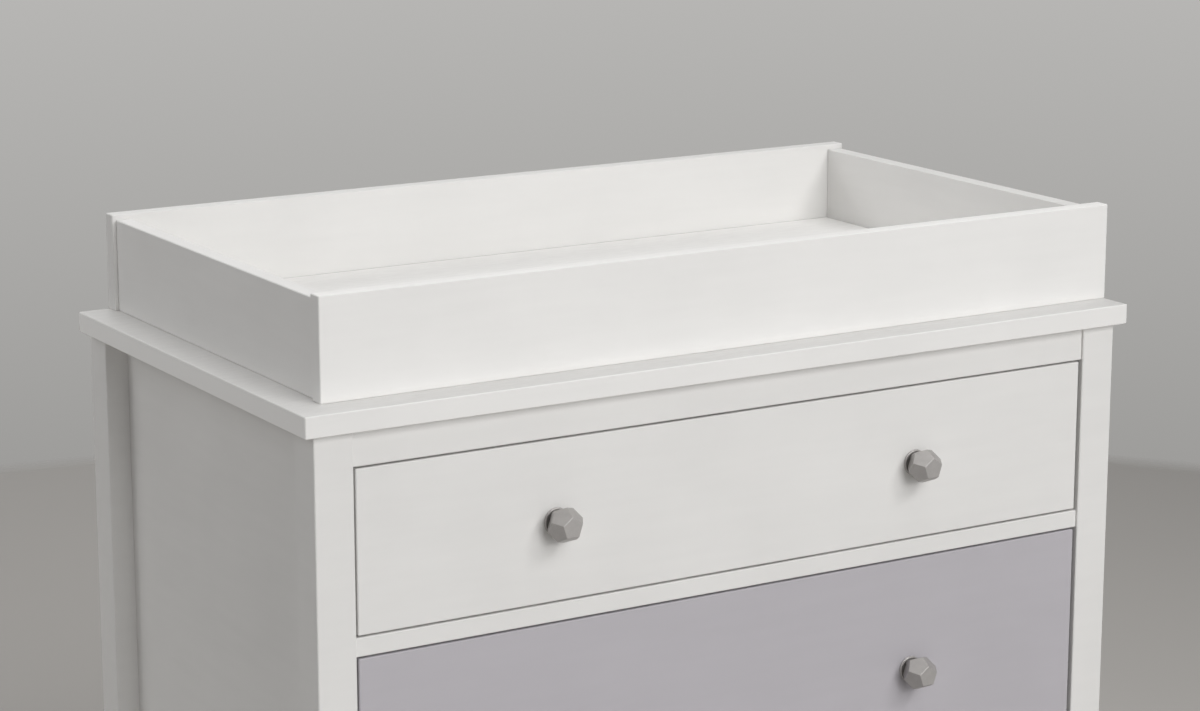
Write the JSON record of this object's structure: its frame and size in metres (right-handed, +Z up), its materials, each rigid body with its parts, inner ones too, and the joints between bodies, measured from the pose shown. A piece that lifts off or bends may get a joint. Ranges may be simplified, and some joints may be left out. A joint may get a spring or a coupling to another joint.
{
  "type": "changing dresser",
  "caption": "Chest of drawers on corner posts with faceted knobs, and a lift-off changing tray with raised edges hooked on its top.",
  "frame": {"origin": "on the floor, in the middle of the width and of the whole depth, knobs and tray hooks included", "axes": "+X to the right seen from the front, +Y to the back, +Z up"},
  "size_m": [0.91, 0.5334, 0.936],
  "materials": {
    "white_lacquer": "satin white lacquer on board",
    "lavender_grey_lacquer": "satin lavender-grey lacquer on board",
    "drawer_board": "matt white foil",
    "white_hardboard": "matt white",
    "knob_metal": "satin",
    "white_runner_steel": "powder coat",
    "roller_nylon": "matt",
    "zinc_steel": "zinc plated",
    "cam_zinc": "die cast",
    "glide_plastic": "matt"
  },
  "bodies": {
    "cabinet": {"top_panel": "white_lacquer", "front_left_post": "white_lacquer", "front_right_post": "white_lacquer", "back_left_post": "white_lacquer", "back_right_post": "white_lacquer", "left_side_panel": "white_lacquer", "right_side_panel": "white_lacquer", "top_rail": "white_lacquer", "upper_divider_rail": "white_lacquer", "lower_divider_rail": "white_lacquer", "bottom_rail": "white_lacquer", "back_top_rail": "drawer_board", "back_bottom_rail": "drawer_board", "back_panel": "white_hardboard", "back_panel_screws": "zinc_steel", "wall_anchor_bracket": "zinc_steel", "floor_glides": "glide_plastic", "cam_locks": "cam_zinc", "cam_bolts": "zinc_steel", "cabinet_runners": "white_runner_steel", "runner_screws": "zinc_steel", "tray_hook_screws": "zinc_steel"},
    "changing_tray": {"tray_front_board": "white_lacquer", "tray_back_board": "white_lacquer", "tray_left_board": "white_lacquer", "tray_right_board": "white_lacquer", "tray_floor": "white_lacquer", "tray_hook_plates": "zinc_steel", "tray_plate_screws": "zinc_steel"},
    "top_drawer": {"top_drawer_front": "white_lacquer", "top_drawer_left_side": "drawer_board", "top_drawer_right_side": "drawer_board", "top_drawer_back": "drawer_board", "top_drawer_bottom": "white_hardboard", "top_drawer_knobs": "knob_metal", "top_drawer_knob_screws": "zinc_steel", "top_drawer_runners": "white_runner_steel"},
    "middle_drawer": {"middle_drawer_front": "lavender_grey_lacquer", "middle_drawer_left_side": "drawer_board", "middle_drawer_right_side": "drawer_board", "middle_drawer_back": "drawer_board", "middle_drawer_bottom": "white_hardboard", "middle_drawer_knobs": "knob_metal", "middle_drawer_knob_screws": "zinc_steel", "middle_drawer_runners": "white_runner_steel"},
    "bottom_drawer": {"bottom_drawer_front": "lavender_grey_lacquer", "bottom_drawer_left_side": "drawer_board", "bottom_drawer_right_side": "drawer_board", "bottom_drawer_back": "drawer_board", "bottom_drawer_bottom": "white_hardboard", "bottom_drawer_knobs": "knob_metal", "bottom_drawer_knob_screws": "zinc_steel", "bottom_drawer_runners": "white_runner_steel"},
    "top_drawer_front_roller_pair": {"top_drawer_front_rollers": "roller_nylon"},
    "top_drawer_rear_roller_pair": {"top_drawer_rear_rollers": "roller_nylon"},
    "middle_drawer_front_roller_pair": {"middle_drawer_front_rollers": "roller_nylon"},
    "middle_drawer_rear_roller_pair": {"middle_drawer_rear_rollers": "roller_nylon"},
    "bottom_drawer_front_roller_pair": {"bottom_drawer_front_rollers": "roller_nylon"},
    "bottom_drawer_rear_roller_pair": {"bottom_drawer_rear_rollers": "roller_nylon"}
  },
  "joints": [
    {"name": "top_drawer_slide", "type": "slide", "parent": "cabinet", "child": "top_drawer", "axis": [0, -1, 0], "range_m": [0, 0.3]},
    {"name": "middle_drawer_slide", "type": "slide", "parent": "cabinet", "child": "middle_drawer", "axis": [0, -1, 0], "range_m": [0, 0.3]},
    {"name": "bottom_drawer_slide", "type": "slide", "parent": "cabinet", "child": "bottom_drawer", "axis": [0, -1, 0], "range_m": [0, 0.3]},
    {"name": "tray_lift", "type": "slide", "parent": "cabinet", "child": "changing_tray", "axis": [0, 0, 1], "range_m": [0, 0.12]},
    {"name": "top_drawer_front_rollers_turn", "type": "hinge", "parent": "cabinet", "child": "top_drawer_front_roller_pair", "pos_m": [0, -0.2049, 0.6605], "axis": [1, 0, 0], "range_deg": [0, 1640]},
    {"name": "top_drawer_rear_rollers_turn", "type": "hinge", "parent": "top_drawer", "child": "top_drawer_rear_roller_pair", "pos_m": [0, 0.1671, 0.6605], "axis": [1, 0, 0], "range_deg": [0, 1640]},
    {"name": "middle_drawer_front_rollers_turn", "type": "hinge", "parent": "cabinet", "child": "middle_drawer_front_roller_pair", "pos_m": [0, -0.2049, 0.414], "axis": [1, 0, 0], "range_deg": [0, 1640]},
    {"name": "middle_drawer_rear_rollers_turn", "type": "hinge", "parent": "middle_drawer", "child": "middle_drawer_rear_roller_pair", "pos_m": [0, 0.1671, 0.414], "axis": [1, 0, 0], "range_deg": [0, 1640]},
    {"name": "bottom_drawer_front_rollers_turn", "type": "hinge", "parent": "cabinet", "child": "bottom_drawer_front_roller_pair", "pos_m": [0, -0.2049, 0.1675], "axis": [1, 0, 0], "range_deg": [0, 1640]},
    {"name": "bottom_drawer_rear_rollers_turn", "type": "hinge", "parent": "bottom_drawer", "child": "bottom_drawer_rear_roller_pair", "pos_m": [0, 0.1671, 0.1675], "axis": [1, 0, 0], "range_deg": [0, 1640]}
  ],
  "couplings": [
    {"joint": "top_drawer_front_rollers_turn", "follows": "top_drawer_slide", "rad_per_m": 95.238},
    {"joint": "top_drawer_rear_rollers_turn", "follows": "top_drawer_slide", "rad_per_m": 95.238},
    {"joint": "middle_drawer_front_rollers_turn", "follows": "middle_drawer_slide", "rad_per_m": 95.238},
    {"joint": "middle_drawer_rear_rollers_turn", "follows": "middle_drawer_slide", "rad_per_m": 95.238},
    {"joint": "bottom_drawer_front_rollers_turn", "follows": "bottom_drawer_slide", "rad_per_m": 95.238},
    {"joint": "bottom_drawer_rear_rollers_turn", "follows": "bottom_drawer_slide", "rad_per_m": 95.238}
  ]
}
